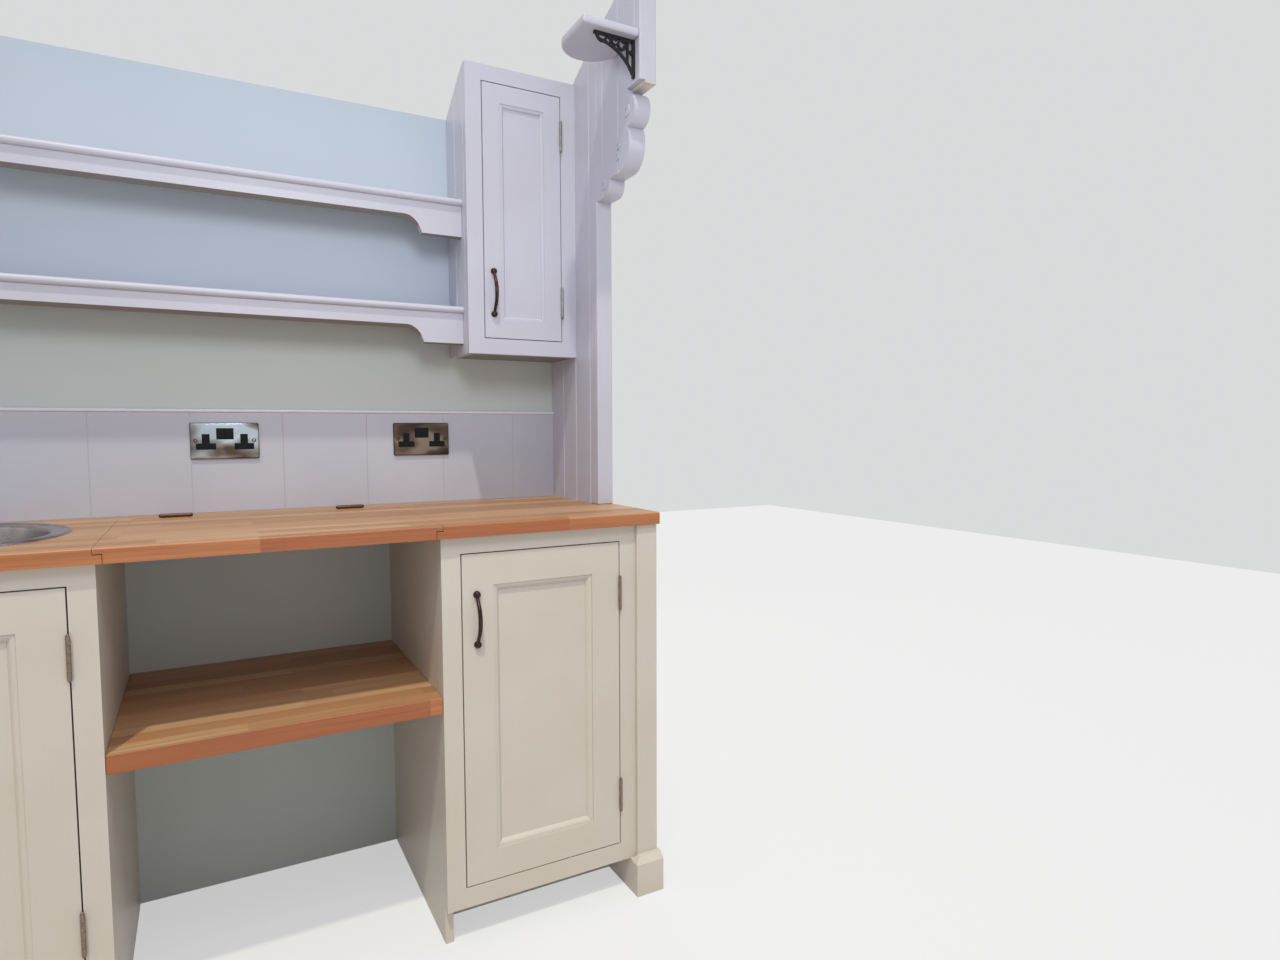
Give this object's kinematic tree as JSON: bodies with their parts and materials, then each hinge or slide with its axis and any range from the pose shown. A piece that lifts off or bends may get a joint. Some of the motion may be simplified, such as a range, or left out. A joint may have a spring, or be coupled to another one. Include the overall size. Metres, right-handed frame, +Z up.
{
  "type": "fitted kitchenette",
  "caption": "Fitted kitchenette of a shepherd's hut: timber worktop with inset sink and lifting flap, framed cupboards, open cooker bay, tiled splashback, wall shelves, wall cupboard and boarded end partition.",
  "frame": {"origin": "middle of the box's underside, on the floor", "axes": "+Z up along the height; the doors and the worktop's front face -Y; +X runs to the right along the wall towards the boarded partition"},
  "size_m": [1.708, 0.613, 2.1798],
  "materials": {
    "wall_paint": "duck-egg matt paint on lining board",
    "warm_paint": "warm white eggshell paint",
    "cool_paint": "cool white eggshell paint",
    "sawn_pine": "sawn softwood",
    "stave_wood": "oiled hardwood staves",
    "glazed_tile": "white gloss glaze",
    "trim_steel": "polished trim",
    "socket_steel": "brushed metal plate",
    "sink_steel": "brushed stainless steel",
    "aged_bronze": "aged bronze",
    "aged_brass": "aged brass",
    "pewter": "dull pewter",
    "cast_iron": "black painted casting"
  },
  "bodies": {
    "kitchenette": {"back_wall": "wall_paint", "wall_studs": "sawn_pine", "splashback": "glazed_tile", "tile_trim": "trim_steel", "socket_left": "socket_steel", "socket_right": "socket_steel", "worktop": "stave_wood", "sink_bowl": "sink_steel", "sink_waste": "sink_steel", "left_end_post": "warm_paint", "left_end_boards": "warm_paint", "left_bay_side": "warm_paint", "left_face_frame": "warm_paint", "right_bay_side": "warm_paint", "right_face_frame": "warm_paint", "base_frame_leaves": "aged_brass", "cupboard_floors": "warm_paint", "kick_boards": "warm_paint", "oven_shelf": "stave_wood", "partition_lower_boards": "warm_paint", "partition_lower_post": "warm_paint", "partition_upper_boards": "cool_paint", "partition_upper_post": "cool_paint", "header_boards": "cool_paint", "header_rail": "cool_paint", "corbel": "cool_paint", "high_shelf": "cool_paint", "shelf_bracket": "cast_iron", "plinth_blocks": "warm_paint", "shelf_upper": "cool_paint", "shelf_lower": "cool_paint", "wall_cupboard_side": "cool_paint", "wall_cupboard_bottom": "cool_paint", "wall_cupboard_top": "cool_paint", "wall_cupboard_frame": "cool_paint", "wall_frame_leaves": "pewter"},
    "lifting_flap": {"worktop_flap": "stave_wood", "flap_leaves": "aged_bronze"},
    "left_base_door": {"left_door": "warm_paint", "left_door_handle": "aged_bronze", "left_door_leaves": "aged_brass"},
    "right_base_door": {"right_door": "warm_paint", "right_door_handle": "aged_bronze", "right_door_leaves": "aged_brass"},
    "wall_cupboard_door": {"wall_door": "cool_paint", "wall_door_handle": "aged_bronze", "wall_door_leaves": "pewter"}
  },
  "joints": [
    {"name": "flap_hinge", "type": "hinge", "parent": "kitchenette", "child": "lifting_flap", "pos_m": [0.042, 0.1775, 0.9245], "axis": [-1, 0, 0], "range_deg": [0, 80]},
    {"name": "left_door_hinge", "type": "hinge", "parent": "kitchenette", "child": "left_base_door", "pos_m": [-0.2955, -0.276, 0.4905], "axis": [0, 0, 1], "range_deg": [0, 110]},
    {"name": "right_door_hinge", "type": "hinge", "parent": "kitchenette", "child": "right_base_door", "pos_m": [0.7545, -0.276, 0.4905], "axis": [0, 0, 1], "range_deg": [0, 110]},
    {"name": "wall_door_hinge", "type": "hinge", "parent": "kitchenette", "child": "wall_cupboard_door", "pos_m": [0.7655, 0.071, 1.67], "axis": [0, 0, 1], "range_deg": [0, 100]}
  ]
}
